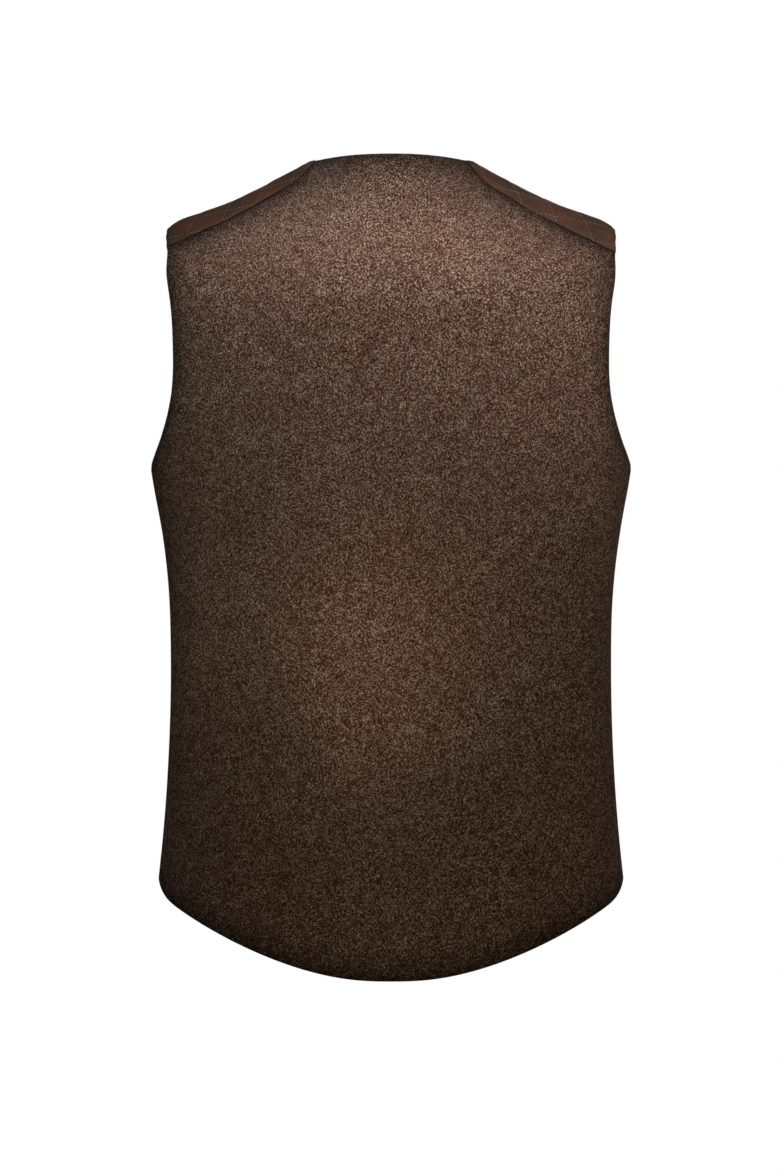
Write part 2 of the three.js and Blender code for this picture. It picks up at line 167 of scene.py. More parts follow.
MM = 0.001
solid_low, solid_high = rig.bounds()
print("solids, mm:", [round(v / MM) for v in solid_high - solid_low])

# %% [markdown]
# ## Camera
#
# The vest is seen straight from behind, level, from the height of its middle. A long lens from 3.2 metres
# keeps the shoulders and the hem nearly in true proportion, as a catalogue photographer would.

# %% Place the camera
CAMERA_DISTANCE = 3.2
FRAME_HEIGHT = 0.993  # what the picture's height takes in at the vest
CAMERA_Z = -0.363
SENSOR = 36


def linked(name, data):
    """A new object in the scene."""
    made = bpy.data.objects.new(name, data)
    bpy.context.scene.collection.objects.link(made)
    return made


camera = linked("camera", bpy.data.cameras.new("camera"))
bpy.context.scene.camera = camera
camera.location = (0, -CAMERA_DISTANCE, CAMERA_Z)
camera.rotation_euler = (math.radians(90), 0, 0)
camera.data.sensor_width = SENSOR
camera.data.lens = SENSOR * CAMERA_DISTANCE / FRAME_HEIGHT
print("lens, mm:", round(camera.data.lens, 1))

# %% [markdown]
# ## A writer of node trees
#
# The world and every finish are made of nodes. A small helper adds them and joins them in one line each, so
# that a finish reads as a recipe.

# %% Write node trees


class Nodes:
    """Adds nodes to a tree and joins them, by name of input."""

    def __init__(self, tree):
        self.tree = tree

    def add(self, kind, setup=None, **inputs):
        """A new node. An input is given by its name, or by i and its number."""
        node = self.tree.nodes.new("ShaderNode" + kind)
        for key, value in (setup or {}).items():
            setattr(node, key, value)
        for key, value in inputs.items():
            self.feed(node.inputs[int(key[1:]) if key[0] == "i" and key[1:].isdigit() else key], value)
        return node

    def feed(self, socket, value):
        """Joins a node's output to the socket, or sets a plain value."""
        if isinstance(value, bpy.types.NodeSocket):
            self.tree.links.new(value, socket)
        else:
            socket.default_value = value

    def fill(self, node, values):
        for key, value in values.items():
            self.feed(node.inputs[key], value)

    def math(self, operation, a, b):
        node = self.add("Math", {"operation": operation}, i0=a, i1=b)
        return node.outputs[0]

    def mix(self, share, a, b):
        node = self.add("Mix", {"data_type": "RGBA"}, i0=share, i6=a, i7=b)
        return node.outputs[2]

    def ramp(self, value, low, high):
        """0 below low, 1 above high, smooth between."""
        node = self.add("MapRange", {"interpolation_type": "SMOOTHSTEP"}, i0=value, i1=low, i2=high)
        return node.outputs[0]

    def bump(self, strength, distance, height):
        return self.add("Bump", Strength=strength, Distance=distance, Height=height).outputs[0]

# %% [markdown]
# ## Stage and light
#
# A white floor lies well below the vest, which hangs as if on a wearer. A large soft lamp stands high and
# close to the back, and a strip lamp with a grid lays a band of light over the shoulder blades, so that
# the light falls off towards the tail. A broad lamp fills from the right, and small ones lift the right
# shoulder blade, the middle, the waist and the tail. One more lights the front. The world is white to look
# at and dim as a light.

# %% Light the vest
FLOOR_Z = -1.3
FLOOR_SIZE = 4.5
WORLD_GLOW = 0.055  # how brightly the world lights the vest
bpy.context.scene.view_settings.view_transform = "Standard"


def soft_lamp(name, place, target, size, watts, spread, colour):
    """A lamp that points at a target, of a width and a height."""
    lamp = linked(name, bpy.data.lights.new(name, "AREA"))
    lamp.data.shape = "ELLIPSE"
    lamp.data.size, lamp.data.size_y = size
    lamp.data.energy = watts
    lamp.data.spread = math.radians(spread)
    lamp.data.color = colour
    lamp.location = place
    lamp.rotation_euler = (Vector(target) - Vector(place)).to_track_quat("-Z", "Y").to_euler()


NEUTRAL, COOL, WARM = (1.0, 0.97, 0.96), (1.0, 1.01, 1.2), (1.04, 0.945, 0.82)
LAMPS = [  # name, place, target, width and height, watts, spread in degrees, colour
    ("key lamp", (0.12, -0.95, 0.46), (0.04, -0.1, -0.05), (0.45, 0.45), 0.385, 42, COOL),
    ("strip lamp", (0.0, -1.0, 0.1), (0.0, -0.1, -0.075), (0.34, 0.04), 0.025, 9, COOL),
    ("small lamp", (0.05, -1.0, 0.0), (0.06, -0.1, -0.08), (0.06, 0.03), 0.0025, 6, COOL),
    ("side lamp", (1.15, -2.1, -0.3), (0.0, 0.0, -0.35), (0.8, 0.8), 2.8, 180, WARM),
    ("blade lamp", (0.9, -1.0, -0.05), (0.17, -0.08, -0.17), (0.12, 0.12), 0.017, 16, COOL),
    ("middle lamp", (0.0, -1.2, -0.4), (-0.01, -0.1, -0.4), (0.12, 0.12), 0.0155, 14, WARM),
    ("waist lamp", (-0.02, -1.2, -0.47), (-0.02, -0.1, -0.47), (0.03, 0.2), 0.0023, 8, WARM),
    ("tail lamp", (0.0, -1.2, -0.6), (0.0, -0.1, -0.6), (0.12, 0.12), 0.003, 14, WARM),
    ("front lamp", (0.2, 2.0, 0.1), (0.0, 0.0, -0.35), (1.2, 1.2), 14, 180, NEUTRAL),
]
for row in LAMPS:
    soft_lamp(*row)

world = bpy.data.worlds.new("studio")
bpy.context.scene.world = world
world.use_nodes = True
world.node_tree.nodes.clear()
nodes = Nodes(world.node_tree)
seen = nodes.add("LightPath").outputs["Is Camera Ray"]
strength = nodes.add("MapRange", i0=seen, i3=WORLD_GLOW, i4=1.0).outputs[0]
glow = nodes.add("Background", Color=(1, 1, 1, 1), Strength=strength)
nodes.add("OutputWorld", Surface=glow.outputs[0])

bpy.ops.object.select_all(action="DESELECT")
bpy.ops.mesh.primitive_plane_add(size=FLOOR_SIZE, location=(0, 0, FLOOR_Z))
floor = bpy.context.object
floor.name = "floor"
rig.stage(floor)

# %% [markdown]
# ## Shared effects
#
# Two effects serve more than one finish: wool flecks, and cloudy tone. Both are node groups that put out
# masks only, so that each material keeps its own shader.

# %% Make materials and groups
def material(name):
    m = bpy.data.materials.new(name)
    m.use_nodes = True
    m.node_tree.nodes.clear()
    nodes = Nodes(m.node_tree)
    shader = nodes.add("BsdfPrincipled")
    end = nodes.add("OutputMaterial")
    m.node_tree.links.new(shader.outputs[0], end.inputs["Surface"])
    return m, nodes, shader


def group(name, takes, gives):
    tree = bpy.data.node_groups.new(name, "ShaderNodeTree")
    for key, kind in takes.items():
        tree.interface.new_socket(key, in_out="INPUT", socket_type=kind)
    for key, kind in gives.items():
        tree.interface.new_socket(key, in_out="OUTPUT", socket_type=kind)
    return tree, Nodes(tree), tree.nodes.new("NodeGroupInput"), tree.nodes.new("NodeGroupOutput")


def srgb(*rgb):
    """A colour as it is seen, 0 to 255, as the shader wants it."""
    linear = [((c / 255 + 0.055) / 1.055) ** 2.4 if c > 10 else c / 255 / 12.92 for c in rgb]
    return (*linear, 1)


# %% Wool flecks
HAIR_TURNS = ((0.2, 0.5, 0.1), (1.1, -0.6, 0.7), (-0.5, 1.5, -0.9), (0.8, 2.4, 0.4))  # ways they lie
HAIR_LENGTH = 2.6  # of a hair, for a width of 1
TUFTED = 0.07  # how far the hairs gather into tufts

flecks, nodes, taken, given = group(
    "wool flecks",
    {"Vector": "NodeSocketVector", "Size": "NodeSocketFloat"},
    dict.fromkeys(("Flecks", "Hue", "Fibres", "Fuzz", "Nap"), "NodeSocketFloat"),
)
where, size = taken.outputs["Vector"], taken.outputs["Size"]
per_metre = nodes.math("DIVIDE", 1.0, size)
fine = nodes.math("MULTIPLY", per_metre, 3.6)
fuzz = nodes.add("TexNoise", Vector=where, Scale=fine, Detail=2.0)
centred = nodes.add("VectorMath", {"operation": "SUBTRACT"}, i0=fuzz.outputs["Color"], i1=(0.5, 0.5, 0.5))
strayed = nodes.add("VectorMath", {"operation": "SCALE"}, i0=centred.outputs[0], Scale=size)
frayed = nodes.add("VectorMath", {"operation": "ADD"}, i0=where, i1=strayed.outputs[0]).outputs[0]
grain = nodes.add("TexNoise", Vector=frayed, Scale=per_metre, Detail=1.0, Roughness=0.6).outputs[0]
wide = nodes.math("MULTIPLY", per_metre, 0.6)
dyed = nodes.add("TexNoise", {"noise_dimensions": "4D"}, Vector=where, W=3.0, Detail=1.0, Scale=wide)
tuft = nodes.math("MULTIPLY", per_metre, 0.09)
tufts = nodes.add("TexNoise", Vector=where, Scale=tuft, Detail=2.0)
thicker = nodes.math("MULTIPLY", nodes.math("SUBTRACT", tufts.outputs[0], 0.5), TUFTED)
hairs = None
for turn in HAIR_TURNS:
    laid = nodes.add("Mapping", {"vector_type": "TEXTURE"}, Vector=frayed, Rotation=turn,
                     Scale=(HAIR_LENGTH, 1.0, 1.0))
    streak = nodes.add("TexNoise", Vector=laid.outputs[0], Scale=per_metre, Detail=1.0, Distortion=0.6)
    hair = nodes.ramp(nodes.math("ADD", streak.outputs[0], thicker), 0.655, 0.68)
    hairs = hair if hairs is None else nodes.math("MAXIMUM", hairs, hair)
nap = nodes.math("ADD", grain, nodes.math("MULTIPLY", hairs, 0.35))
nodes.fill(given, {
    "Flecks": nodes.ramp(grain, 0.45, 0.59),
    "Hue": nodes.ramp(dyed.outputs[0], 0.38, 0.62),
    "Fibres": hairs,
    "Fuzz": nodes.ramp(fuzz.outputs[0], 0.35, 0.65),
    "Nap": nodes.math("ADD", nap, nodes.math("MULTIPLY", fuzz.outputs[0], 0.6)),
})

# %% Cloudy tone
clouds, nodes, taken, given = group(
    "cloudy tone",
    {"Vector": "NodeSocketVector", "Size": "NodeSocketFloat"},
    {"Tone": "NodeSocketFloat"},
)
per_metre = nodes.math("DIVIDE", 1.0, taken.outputs["Size"])
cloud = nodes.add("TexNoise", Vector=taken.outputs["Vector"], Scale=per_metre, Detail=3.0, Roughness=0.55)
nodes.feed(given.inputs["Tone"], nodes.ramp(cloud.outputs[0], 0.32, 0.68))

# %% [markdown]
# ## Loden
#
# Loden is wool that is woven, shrunk and brushed until no thread shows: a matt brown felt, flecked light
# and dark, with pale hairs lying every way. Noise at under a millimetre gives the flecks, and noise
# stretched along four directions gives the hairs, which gather a little into tufts. The same masks drive a
# fine bump, and a faint sheen stands for the nap. All of it reads Object coordinates, because the cloth has
# no direction to follow. Along its seams and edges the colour is darkened: painted shade, as of the shade by the seams
# and edges.

# %% Make the loden
LODEN_DARK = srgb(8, 4, 2)
LODEN_RED = srgb(132, 73, 50)
LODEN_OLIVE = srgb(110, 78, 50)
LODEN_PALE = srgb(255, 226, 190)
LODEN_WORN = srgb(84, 54, 42)
# painted shade: the near-black that the loden is darkened towards by its edges and seams
LODEN_PAINTED_SHADE = srgb(20, 14, 10)
FLECK_SIZE = 0.66 * MM
LODEN_CLOUDS = 50 * MM


def use(nodes, tree, **inputs):
    """A shared effect in a material's tree."""
    node = nodes.add("Group", {"node_tree": tree})
    nodes.fill(node, inputs)
    return node.outputs


loden, nodes, shader = material("loden")
where = nodes.add("TexCoord").outputs["Object"]
wool = use(nodes, flecks, Vector=where, Size=FLECK_SIZE)
broad = use(nodes, clouds, Vector=where, Size=LODEN_CLOUDS)["Tone"]
painted_edge_shade = nodes.add("Attribute", {"attribute_name": "painted_edge_shade"}).outputs["Fac"]
dye = nodes.mix(wool["Hue"], LODEN_OLIVE, LODEN_RED)
body = nodes.mix(wool["Flecks"], LODEN_DARK, dye)
hairy = nodes.mix(wool["Fibres"], body, LODEN_PALE)
hairy = nodes.mix(nodes.math("MULTIPLY", wool["Fuzz"], 0.12), hairy, LODEN_RED)
worn = nodes.mix(nodes.math("MULTIPLY", broad, 0.18), hairy, LODEN_WORN)
# painted shade: the loden is darkened towards its edges and seams, from a mask that each sheet carries
worn = nodes.mix(nodes.math("MULTIPLY", painted_edge_shade, 0.75), worn, LODEN_PAINTED_SHADE)
nodes.fill(shader, {
    "Base Color": worn,
    "Roughness": 0.95,
    "Specular IOR Level": 0.1,
    "Sheen Weight": 0.08,
    "Sheen Roughness": 0.45,
    "Sheen Tint": srgb(200, 185, 178),
    "Normal": nodes.bump(0.55, 0.6 * MM, wool["Nap"]),
})

# %% [markdown]
# ## Quilted leather
#
# The yokes are a matt, brushed brown leather over thin wadding. Its colour is cloudy, from olive brown to
# red brown, with painted shade in the stitched grooves, which the mesh marks with an attribute. Small pebbles
# and pores roughen it.

# %% Make the leather
HIDE_OLIVE = srgb(96, 74, 50)
HIDE_RED = srgb(126, 82, 56)
HIDE_PATCH = srgb(74, 50, 36)
# painted shade: the dark brown of the shade in the stitched grooves
HIDE_GROOVE_SHADE = srgb(48, 32, 22)
HIDE_CLOUDS = 30 * MM
HIDE_PATCHES = 11 * MM

leather, nodes, shader = material("quilted leather")
where = nodes.add("TexCoord").outputs["Object"]
groove = nodes.add("Attribute", {"attribute_name": "groove"}).outputs["Fac"]
tone = use(nodes, clouds, Vector=where, Size=HIDE_CLOUDS)["Tone"]
patch = use(nodes, clouds, Vector=where, Size=HIDE_PATCHES)["Tone"]
hide = nodes.mix(tone, HIDE_OLIVE, HIDE_RED)
hide = nodes.mix(nodes.math("MULTIPLY", patch, 0.45), hide, HIDE_PATCH)
# painted shade: the stitched grooves are darkened, as the shade that lies in them
hide = nodes.mix(nodes.math("MULTIPLY", groove, 0.5), hide, HIDE_GROOVE_SHADE)
pebbles = nodes.add("TexVoronoi", {"feature": "SMOOTH_F1"}, Vector=where, Scale=900.0, Smoothness=0.6)
pores = nodes.add("TexNoise", Vector=where, Scale=1600.0, Detail=3.0)
height = nodes.math("ADD", pebbles.outputs["Distance"], nodes.math("MULTIPLY", pores.outputs[0], 0.5))
nodes.fill(shader, {
    "Base Color": hide,
    "Roughness": nodes.add("MapRange", i0=tone, i3=0.62, i4=0.8).outputs[0],
    "Specular IOR Level": 0.35,
    "Normal": nodes.bump(0.35, 0.25 * MM, height),
})

# %% [markdown]
# ## Thread, horn and floor
#
# The quilting thread is pale brown, with a fine twist. A near-black twisted cord is painted shadow, laid in the
# seams' ditches and the buttonhole slits. Horn is dark brown with lighter streaks and a soft polish. The floor is
# white to look at, like the world.

# %% Make the small finishes
TWIST = 2500.0  # how fine the twist is, per metre


def thread_finish(name, dark, light, roughness):
    """A twisted thread, from a dark to a light colour, with its twist's node."""
    finish, nodes, shader = material(name)
    twist = nodes.add("TexNoise", Vector=nodes.add("TexCoord").outputs["Object"], Scale=TWIST, Detail=2.0)
    nodes.fill(shader, {"Base Color": nodes.mix(twist.outputs[0], dark, light), "Roughness": roughness})
    return finish, nodes, shader, twist.outputs[0]


thread, nodes, shader, twist = thread_finish("sewing thread", srgb(140, 106, 78), srgb(206, 170, 136), 0.8)
nodes.feed(shader.inputs["Normal"], nodes.bump(0.4, 0.1 * MM, twist))
# painted shadow: a near-black cord for the shade in the seams' ditches and the buttonhole slits
shadow_cord = thread_finish("painted shadow cord", srgb(8, 5, 4), srgb(26, 18, 13), 0.9)[0]

horn, nodes, shader = material("horn")
where = nodes.add("TexCoord").outputs["Object"]
along = nodes.add("Mapping", Vector=where, Scale=(60.0, 60.0, 420.0), Rotation=(0.3, 0.9, 0.2))
streak = nodes.add("TexNoise", Vector=along.outputs[0], Scale=1.0, Detail=4.0, Distortion=0.8).outputs[0]
scratches = nodes.add("TexNoise", Vector=where, Scale=1200.0, Detail=2.0)
nodes.fill(shader, {
    "Base Color": nodes.mix(nodes.ramp(streak, 0.35, 0.7), srgb(40, 26, 18), srgb(98, 70, 48)),
    "Roughness": nodes.add("MapRange", i0=streak, i3=0.25, i4=0.42).outputs[0],
    "Normal": nodes.bump(0.1, 0.1 * MM, scratches.outputs[0]),
})

pale, nodes, shader = material("pale floor")
nodes.fill(shader, {
    "Base Color": (0.8, 0.8, 0.8, 1),
    "Roughness": 0.9,
    "Emission Color": (1, 1, 1, 1),
    "Emission Strength": nodes.add("LightPath").outputs["Is Camera Ray"],
})
floor.data.materials.append(pale)

# %% [markdown]
# ## From a solid to a cloth sheet
#
# A cutter works with flat cloth, so each solid wall is turned back into one sheet. A copy of the wall is
# merged, its triangles joined to quads, and all but the wanted face deleted: faces are grouped by walking
# over edges that are not sharp, so the outer face, the inner face and the rim come apart by themselves.

# %% Take a sheet from a solid
SHARP = math.radians(60)
MERGE = 0.01 * MM
SEAM_REACH = 0.18 * MM  # just over half of the gap that the solids keep at a seam
INSIDE = Vector((0, 0, -0.25))  # a place within the vest, which tells an outer face from an inner one


def choose(*objects):
    """Leaves just these objects selected, with the last one active."""
    bpy.ops.object.select_all(action="DESELECT")
    for each in objects:
        each.select_set(True)
    bpy.context.view_layer.objects.active = objects[-1]


def smooth_islands(bm):
    """Groups of faces that meet over edges that are not sharp."""
    left = set(bm.faces)
    while left:
        todo, island = [left.pop()], []
        while todo:
            face = todo.pop()
            island.append(face)
            for edge in face.edges:
                if len(edge.link_faces) == 2 and edge.calc_face_angle(0) < SHARP:
                    for other in edge.link_faces:
                        if other in left:
                            left.remove(other)
                            todo.append(other)
        yield island


def reach_out(bm, distance):
    """Moves the sheet's outline outwards, within the sheet, so that sewn neighbours touch."""
    moves = {}
    for edge in bm.edges:
        if edge.is_boundary:
            face = edge.link_faces[0]
            away = (edge.verts[1].co - edge.verts[0].co).cross(face.normal).normalized()
            if away.dot(edge.verts[0].co - face.calc_center_median()) < 0:
                away.negate()
            for v in edge.verts:
                moves[v] = moves.get(v, Vector()) + away
    for v, away in moves.items():
        v.co += away.normalized() * distance


def sheet_of(node, name, inside=False):
    """The outer face of a solid wall, or its inner one turned to face out, as an open mesh."""
    mesh = frame["nodes"][node].data.copy()
    mesh.transform(frame["nodes"][node].matrix_world)
    mesh.name = name
    mesh.materials.clear()
    piece = linked(name, mesh)
    choose(piece)
    bpy.ops.object.mode_set(mode="EDIT")
    bpy.ops.mesh.select_all(action="SELECT")
    bpy.ops.mesh.remove_doubles(threshold=MERGE)
    bpy.ops.mesh.tris_convert_to_quads(face_threshold=SHARP, shape_threshold=SHARP)
    bpy.ops.object.mode_set(mode="OBJECT")
    bm = bmesh.new()
    bm.from_mesh(mesh)
    by_size = sorted(smooth_islands(bm), key=lambda island: -sum(f.calc_area() for f in island))

    def outwards(island):
        return sum(f.normal.dot(f.calc_center_median() - INSIDE) * f.calc_area() for f in island)

    wanted = set((min if inside else max)(by_size[:2], key=outwards))
    bmesh.ops.delete(bm, geom=[f for f in bm.faces if f not in wanted], context="FACES")
    if inside:
        bmesh.ops.reverse_faces(bm, faces=bm.faces)
    reach_out(bm, SEAM_REACH)
    bm.to_mesh(mesh)
    bm.free()
    return piece

# %% [markdown]
# ## Reading a sheet
#
# The creases, the quilting and the stitches are worked out for all of a sheet's points at once, so these
# helpers read a mesh as rows of numbers: the places, the way that each faces, its point on the flat cut,
# the outline in order, and how far in from the outline each point lies.

# %% Read a mesh as rows
def corners(mesh):
    """Every vertex's place, as rows."""
    flat = np.empty(len(mesh.vertices) * 3)
    mesh.vertices.foreach_get("co", flat)
    return flat.reshape(-1, 3)


def normals(mesh):
    flat = np.empty(len(mesh.vertices) * 3)
    mesh.vertex_normals.foreach_get("vector", flat)
    return flat.reshape(-1, 3)


def put(mesh, places):
    mesh.vertices.foreach_set("co", np.asarray(places, dtype=np.float32).ravel())
    mesh.update()


def point_uv(mesh):
    """One place on the flat cut for each vertex."""
    uv = np.zeros((len(mesh.vertices), 2))
    loops = np.array([loop.vertex_index for loop in mesh.loops])
    flat = np.empty(len(loops) * 2)
    mesh.uv_layers.active.uv.foreach_get("vector", flat)
    uv[loops] = flat.reshape(-1, 2)
    return uv


def rim_row(mesh):
    """The outline's vertices in order, from the first one round to it again."""
    bm = bmesh.new()
    bm.from_mesh(mesh)
    first = next(v for v in bm.verts if v.is_boundary)
    row, last, at = [first.index], None, first
    while at is not first or last is None:
        ways = [e.other_vert(at) for e in at.link_edges if e.is_boundary]
        last, at = at, next(v for v in ways if v is not last)
        row.append(at.index)
    bm.free()
    return row


def tree_of(points):
    """A tree that finds the nearest of these points."""
    tree = KDTree(len(points))
    for i, co in enumerate(points):
        tree.insert(co, i)
    tree.balance()
    return tree


def edge_distance(mesh):
    """Every vertex's distance to the nearest point of the sheet's outline."""
    tree = tree_of([mesh.vertices[i].co for i in rim_row(mesh)])
    return np.array([tree.find(v.co)[2] for v in mesh.vertices])

# %% [markdown]
# ## The flat cut
#
# The sheet is unwrapped, which gives the shape to cut. The map is scaled to metres, so that it has the
# sheet's own area, and turned until it best matches the piece as it is seen when worn.

# %% Lay a sheet flat
CUT_MARGIN = 10 * MM  # between the cut and the map's own corner
FACES_VIEW = 0.6  # how squarely a point must face the view to count towards the turn


def flat_cut(piece, upright):
    """Unwraps a sheet, scales its map to metres and turns it until its side marked upright stands upright."""
    choose(piece)
    bpy.ops.object.mode_set(mode="EDIT")
    bpy.ops.mesh.select_all(action="SELECT")
    bpy.ops.uv.unwrap(method="ANGLE_BASED", margin=0.0)
    bpy.ops.object.mode_set(mode="OBJECT")
    mesh = piece.data
    layer = mesh.uv_layers.active
    layer.name = "flat cut"
    loops = np.array([loop.vertex_index for loop in mesh.loops])
    uv = np.empty(len(loops) * 2)
    layer.uv.foreach_get("vector", uv)
    uv = uv.reshape(-1, 2)
    drawn = sum(abs(turned_area(uv[list(p.loop_indices)])) for p in mesh.polygons)
    real = sum(p.area for p in mesh.polygons)
    uv *= math.sqrt(real / drawn)
    places, facing = corners(mesh)[loops], normals(mesh)[loops]
    side = -1.0 if upright == "front" else 1.0
    counts = facing[:, 1] * side < -FACES_VIEW
    target = np.stack([places[:, 0] * side, places[:, 2]], 1)
    flat, worn = uv[counts] - uv[counts].mean(0), target[counts] - target[counts].mean(0)
    u, _, vt = np.linalg.svd(flat.T @ worn)
    uv = uv @ (u @ np.diag([1.0, np.sign(np.linalg.det(u @ vt))]) @ vt)
    uv -= uv.min(0) - CUT_MARGIN
    layer.uv.foreach_set("vector", uv.astype(np.float32).ravel())
    size = uv.max(0) - CUT_MARGIN
    print(f"{piece.name}: cut {size[0]:.3f} x {size[1]:.3f} m, {real:.4f} square metres")
    return {"flat": (float(size[0]), float(size[1])), "area": float(real)}


def turned_area(points):
    """The area inside a ring of flat points, negative where the ring runs clockwise."""
    x, y = points[:, 0], points[:, 1]
    return 0.5 * float(np.dot(x, np.roll(y, -1)) - np.dot(y, np.roll(x, -1)))

# %% [markdown]
# ## Rounding a sheet
#
# A sheet is subdivided, which rounds it evenly. The corners of its outline are held, so that a neck point or
# a shoulder tip stays a corner.

# %% Apply modifiers and refine
CORNER = math.radians(32)


def apply(piece, kind, **settings):
    """Adds a modifier with these settings and applies it."""
    choose(piece)
    modifier = piece.modifiers.new(kind.lower(), kind)
    for key, value in settings.items():
        setattr(modifier, key, value)
    bpy.ops.object.modifier_apply(modifier=modifier.name)


def refine(piece, levels):
    """Rounds a sheet between its points, and keeps the corners of its outline."""
    mesh = piece.data
    held = mesh.attributes.new("crease_vert", "FLOAT", "POINT")
    bm = bmesh.new()
    bm.from_mesh(mesh)
    for v in bm.verts:
        rim = [e.other_vert(v).co - v.co for e in v.link_edges if e.is_boundary]
        if len(rim) == 2 and math.pi - rim[0].angle(rim[1]) > CORNER:
            held.data[v.index].value = 1.0
    bm.free()
    apply(piece, "SUBSURF", levels=levels, render_levels=levels)

# %% [markdown]
# ## Creases
#
# Heavy loden over a filled form shows no sharp folds, only shallow hollows and swells: from the armholes
# towards the middle, at the waist and at the tail. Each is a row in a table: its middle, heading, length,
# width and depth, all in millimetres and degrees, as seen from outside. A broad, faint unevenness lies
# under them, because no cloth is as even as a drawing.

# %% Lay the creases
PAINTED_SHADE_REACH = 26 * MM  # how far in from its edges the loden takes painted shade
EDGE_HOLD = 18 * MM  # nearer to its edges than this, the cloth is held to its true outline
UNEVEN = 0.7 * MM
UNEVEN_SIZE = 70 * MM
CREASE_BEND = 0.0012  # how strongly a crease curves, per millimetre of its length
SIDE_SWELL = 0.35  # of the cloth beside a trough, as a share of its depth
SIDE_AWAY = 1.6  # trough widths from the trough to its swell

BACK_CREASES = [  # x, z, heading, length, width, depth
    (0, -112, 180, 420, 32, -5.5),
    (-150, -262, 24, 150, 15, 2.2),
    (152, -270, 157, 140, 16, 2.4),
    (-128, -310, 32, 120, 14, 1.4),
    (130, -322, 150, 130, 15, 1.6),
    (-118, -432, 8, 130, 20, 1.8),
    (122, -446, 170, 120, 18, 1.6),
    (-40, -418, -6, 110, 18, 1.0),
    (44, -470, 5, 100, 20, 1.1),
    (152, -410, 84, 190, 14, 1.8),
    (-156, -520, 80, 150, 16, 1.3),
    (-60, -590, 78, 120, 22, 1.2),
    (66, -600, 104, 130, 22, 1.3),
    (118, -120, 118, 110, 18, 1.4),
    (-122, -124, 62, 100, 18, 1.2),
]
FRONT_CREASES = [  # x, z, heading, length, width, depth
    (138, -250, 148, 120, 15, 2.0),
    (120, -300, 152, 110, 14, 1.5),
    (110, -430, 172, 120, 18, 1.8),
    (60, -450, 176, 90, 16, 1.2),
    (140, -480, 96, 150, 16, 1.4),
    (70, -560, 84, 110, 20, 1.2),
    (96, -170, 112, 100, 18, 1.4),
]


def crease(piece, rows, mirrored=False):
    """Presses soft troughs into a sheet, along its normals."""
    mesh = piece.data
    places = corners(mesh)
    x, z = places[:, 0] / MM, places[:, 2] / MM
    x = -x if mirrored else x
    depth = np.zeros(len(x))
    for at_x, at_z, heading, length, width, deep in rows:
        cosine, sine = math.cos(math.radians(heading)), math.sin(math.radians(heading))
        along = (x - at_x) * cosine + (z - at_z) * sine
        off = (z - at_z) * cosine - (x - at_x) * sine - CREASE_BEND * along**2
        run = np.clip(1 - np.abs(along) / (length / 2), 0, 1)
        trough = np.exp(-((off / width) ** 2))
        beside = np.exp(-((off / width - SIDE_AWAY) ** 2))
        depth += deep * run * run * (3 - 2 * run) * (trough - SIDE_SWELL * beside)
    uneven = np.array([noise.noise(Vector(p) / UNEVEN_SIZE) for p in places])
    inwards = edge_distance(mesh)
    # painted shade: a mask, 1 at the sheet's outline and 0 further in, that darkens the loden near its edges and seams
    marks = mesh.attributes.new("painted_edge_shade", "FLOAT", "POINT")
    marks.data.foreach_set("value", (np.clip(1 - inwards / PAINTED_SHADE_REACH, 0, 1) ** 1.5).astype(np.float32))
    hold = np.clip(inwards / EDGE_HOLD, 0, 1) ** 2
    lift = (-depth * MM + UNEVEN * uneven) * hold
    put(mesh, places + normals(mesh) * lift[:, None])
    print(f"{piece.name}: {len(rows)} creases, deepest {depth.max():.1f} mm")

# %% [markdown]
# ## The loden pieces
#
# Each sheet gets its wall by Solidify, inwards, so that its outer face keeps the true size. A narrow bevel
# rounds the cut edges, as a turned and pressed edge is round.

# %% Back and fronts
LODEN_WALL = 2.2 * MM
LODEN_ROUND = 0.9 * MM
CUT_EDGE = math.radians(50)  # an edge sharper than this is a cut one, and is rounded
pieces, cuts, loden_rims = {}, {}, []
for node, rows, view in (("back", BACK_CREASES, "back"), ("front_left", FRONT_CREASES, "front"),
                         ("front_right", FRONT_CREASES, "front")):
    cloth = sheet_of(node, f"loden_{node}")
    cuts[node] = flat_cut(cloth, view)
    refine(cloth, 2)
    crease(cloth, rows, mirrored=node == "front_left")
    loden_rims += [cloth.data.vertices[i].co.copy() for i in rim_row(cloth.data)]
    pieces[node] = cloth


def round_edges(piece, width):
    """Rounds a wall's cut edges and smooths the rest."""
    apply(piece, "BEVEL", width=width, segments=2, limit_method="ANGLE", angle_limit=CUT_EDGE)
    choose(piece)
    bpy.ops.object.shade_smooth_by_angle(angle=SHARP)


for node, cloth in pieces.items():
    apply(cloth, "SOLIDIFY", thickness=LODEN_WALL, offset=-1, use_even_offset=True, use_rim=True)
    round_edges(cloth, LODEN_ROUND)
    cloth.data.materials.append(loden)
    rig.ride(cloth, "root")
    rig.replaces(cloth, node)
    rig.slot(cloth, "loden")
    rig.sheet(cloth, held="draped", **cuts[node])
    print(cloth.name, len(cloth.data.polygons), "faces")

# %% [markdown]
# ## The quilted yokes
#
# Each yoke is leather stitched through thin wadding in diamonds. The sheet is the solid's plain inner face.
# The outer face is the same sheet moved out, low along the stitched lines and full between them. The lines
# are drawn on the flat cut, at 45 degrees to the upright of the front, so that they bend over the shoulder
# as sewn lines do. At the edges the wadding is pressed flat by the seam.

